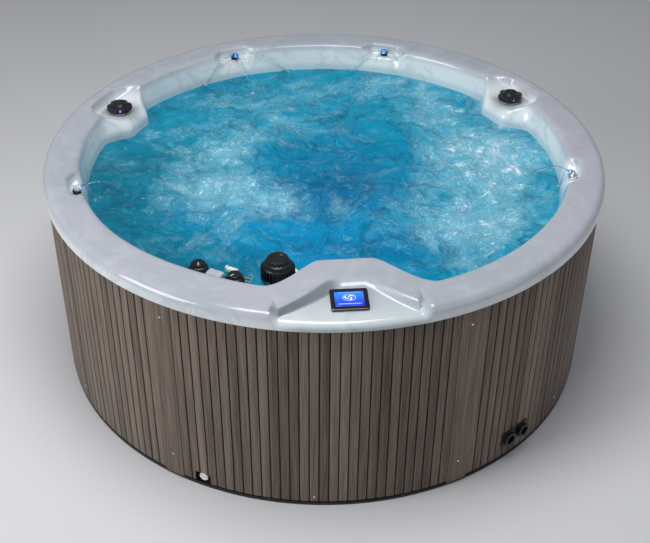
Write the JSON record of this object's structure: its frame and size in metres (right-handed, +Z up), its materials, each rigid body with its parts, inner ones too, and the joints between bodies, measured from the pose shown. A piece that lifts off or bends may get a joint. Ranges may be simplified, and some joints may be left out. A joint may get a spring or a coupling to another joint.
{
  "type": "hot tub",
  "caption": "Round outdoor hot tub: moulded white shell with seats, footwell and control lobe, brown slatted cabinet, jets, fountain nozzles, filter, pumps and heater.",
  "frame": {"origin": "on the floor, at the tub's vertical axis", "axes": "+Z up, the front with the display faces -Y, +X to the right seen from the front"},
  "size_m": [2.08, 2.08, 0.828],
  "materials": {
    "shell": "gloss pearl white acrylic",
    "slats": "brown composite with a wood grain",
    "black_plastic": "satin black",
    "grey_plastic": "moulded grey",
    "white_plastic": "white pipe plastic",
    "steel": "stainless",
    "timber": "sawn softwood",
    "support_foam": "closed foam",
    "screen": "lit display behind a dark cover",
    "filter_media": "pleated media",
    "nozzle_black": "gloss black",
    "motor_paint": "painted",
    "gate_red": "red handle"
  },
  "bodies": {
    "tub": {"shell": "shell", "base_pan": "black_plastic", "well_support": "support_foam", "frame_posts": "timber", "frame_rings": "timber", "side_panel_1": "slats", "side_panel_2": "slats", "side_panel_3": "slats", "side_panel_4": "slats", "side_panel_5": "slats", "corner_battens": "slats", "batten_screws": "steel", "panel_screws": "steel", "display_bezel": "black_plastic", "display_screen": "screen", "diverter_valves": "grey_plastic", "air_valves": "grey_plastic", "filter_canister": "white_plastic", "fountain_housings": "grey_plastic", "jet_bodies": "steel", "small_jets": "steel", "suction_covers": "white_plastic", "floor_drain": "white_plastic", "pump_1_motor": "motor_paint", "pump_1_wet_end": "black_plastic", "pump_2_motor": "motor_paint", "pump_2_wet_end": "black_plastic", "heater": "steel", "control_box": "grey_plastic", "blower_housing": "black_plastic", "drain_outlet": "white_plastic", "air_inlets": "black_plastic", "water_manifold": "white_plastic", "air_manifold": "grey_plastic", "suction_pipes": "white_plastic", "gate_valves": "white_plastic"},
    "left_diverter": {"diverter_knob_left": "black_plastic"},
    "right_diverter": {"diverter_knob_right": "black_plastic"},
    "left_air_knob": {"air_knob_left": "black_plastic"},
    "right_air_knob": {"air_knob_right": "black_plastic"},
    "cartridge": {"filter_cartridge": "filter_media"},
    "skimmer": {"skimmer_basket": "black_plastic"},
    "nozzle_1": {"fountain_nozzle_1": "nozzle_black"},
    "nozzle_2": {"fountain_nozzle_2": "nozzle_black"},
    "nozzle_3": {"fountain_nozzle_3": "nozzle_black"},
    "nozzle_4": {"fountain_nozzle_4": "nozzle_black"},
    "jet_1": {"jet_face_1": "steel"},
    "jet_2": {"jet_face_2": "steel"},
    "jet_3": {"jet_face_3": "steel"},
    "jet_4": {"jet_face_4": "steel"},
    "jet_5": {"jet_face_5": "steel"},
    "jet_6": {"jet_face_6": "steel"},
    "impeller_1": {"pump_1_impeller": "steel"},
    "impeller_2": {"pump_2_impeller": "steel"},
    "blower_rotor": {"blower_wheel": "grey_plastic"},
    "cap": {"drain_cap": "white_plastic"},
    "gate_1": {"gate_handle_1": "gate_red"},
    "gate_2": {"gate_handle_2": "gate_red"},
    "access_panel": {"front_panel": "slats", "front_panel_screw": "steel"}
  },
  "joints": [
    {"name": "left_diverter_turn", "type": "hinge", "parent": "tub", "child": "left_diverter", "pos_m": [-0.79654, 0.41465, 0.784], "axis": [0, 0, 1], "range_deg": [-90, 90]},
    {"name": "right_diverter_turn", "type": "hinge", "parent": "tub", "child": "right_diverter", "pos_m": [0.79654, 0.41465, 0.784], "axis": [0, 0, 1], "range_deg": [-90, 90]},
    {"name": "left_air_turn", "type": "hinge", "parent": "tub", "child": "left_air_knob", "pos_m": [-0.46424, -0.62057, 0.724], "axis": [0, 0, 1], "range_deg": [0, 90]},
    {"name": "right_air_turn", "type": "hinge", "parent": "tub", "child": "right_air_knob", "pos_m": [-0.34459, -0.69418, 0.724], "axis": [0, 0, 1], "range_deg": [0, 90]},
    {"name": "cartridge_lift", "type": "slide", "parent": "tub", "child": "cartridge", "axis": [0, 0, 1], "range_m": [0, 0.3]},
    {"name": "skimmer_float", "type": "slide", "parent": "cartridge", "child": "skimmer", "axis": [0, 0, 1], "range_m": [0, 0.02]},
    {"name": "nozzle_1_turn", "type": "hinge", "parent": "tub", "child": "nozzle_1", "pos_m": [-0.33185, 0.8645, 0.784], "axis": [0, 0, 1], "range_deg": [-60, 60]},
    {"name": "nozzle_2_turn", "type": "hinge", "parent": "tub", "child": "nozzle_2", "pos_m": [0.32732, 0.86622, 0.784], "axis": [0, 0, 1], "range_deg": [-60, 60]},
    {"name": "nozzle_3_turn", "type": "hinge", "parent": "tub", "child": "nozzle_3", "pos_m": [-0.9019, -0.20988, 0.784], "axis": [0, 0, 1], "range_deg": [-60, 60]},
    {"name": "nozzle_4_turn", "type": "hinge", "parent": "tub", "child": "nozzle_4", "pos_m": [0.90116, -0.21303, 0.784], "axis": [0, 0, 1], "range_deg": [-60, 60]},
    {"name": "jet_1_spin", "type": "hinge", "parent": "tub", "child": "jet_1", "pos_m": [-0.8625, 0, 0.57], "axis": [0.9889, 0, 0.1483], "continuous": true},
    {"name": "jet_2_spin", "type": "hinge", "parent": "tub", "child": "jet_2", "pos_m": [-0.56585, 0.65094, 0.57], "axis": [0.6488, -0.7464, 0.1483], "continuous": true},
    {"name": "jet_3_spin", "type": "hinge", "parent": "tub", "child": "jet_3", "pos_m": [0, 0.8625, 0.57], "axis": [0, -0.9889, 0.1483], "continuous": true},
    {"name": "jet_4_spin", "type": "hinge", "parent": "tub", "child": "jet_4", "pos_m": [0.56585, 0.65094, 0.57], "axis": [-0.6488, -0.7464, 0.1483], "continuous": true},
    {"name": "jet_5_spin", "type": "hinge", "parent": "tub", "child": "jet_5", "pos_m": [0.8625, 0, 0.57], "axis": [-0.9889, 0, 0.1483], "continuous": true},
    {"name": "jet_6_spin", "type": "hinge", "parent": "tub", "child": "jet_6", "pos_m": [0.64096, -0.57712, 0.57], "axis": [-0.7349, 0.6617, 0.1483], "continuous": true},
    {"name": "impeller_1_spin", "type": "hinge", "parent": "tub", "child": "impeller_1", "pos_m": [-0.28914, -0.68117, 0.112], "axis": [0.9205, -0.3907, 0], "continuous": true},
    {"name": "impeller_2_spin", "type": "hinge", "parent": "tub", "child": "impeller_2", "pos_m": [0.20397, -0.71133, 0.112], "axis": [0.9613, 0.2756, 0], "continuous": true},
    {"name": "blower_spin", "type": "hinge", "parent": "tub", "child": "blower_rotor", "pos_m": [0.61144, -0.59046, 0.06], "axis": [0, 0, 1], "continuous": true},
    {"name": "drain_cap_turn", "type": "hinge", "parent": "tub", "child": "cap", "pos_m": [-0.47839, -0.89972, 0.041], "axis": [-0.4695, -0.8829, 0], "range_deg": [0, 90]},
    {"name": "gate_1_slide", "type": "slide", "parent": "tub", "child": "gate_1", "axis": [0, 0, 1], "range_m": [-0.041, 0]},
    {"name": "gate_2_slide", "type": "slide", "parent": "tub", "child": "gate_2", "axis": [0, 0, 1], "range_m": [-0.041, 0]},
    {"name": "access_panel_out", "type": "slide", "parent": "tub", "child": "access_panel", "axis": [-0.1002, -0.995, 0], "range_m": [0, 0.4]}
  ]
}
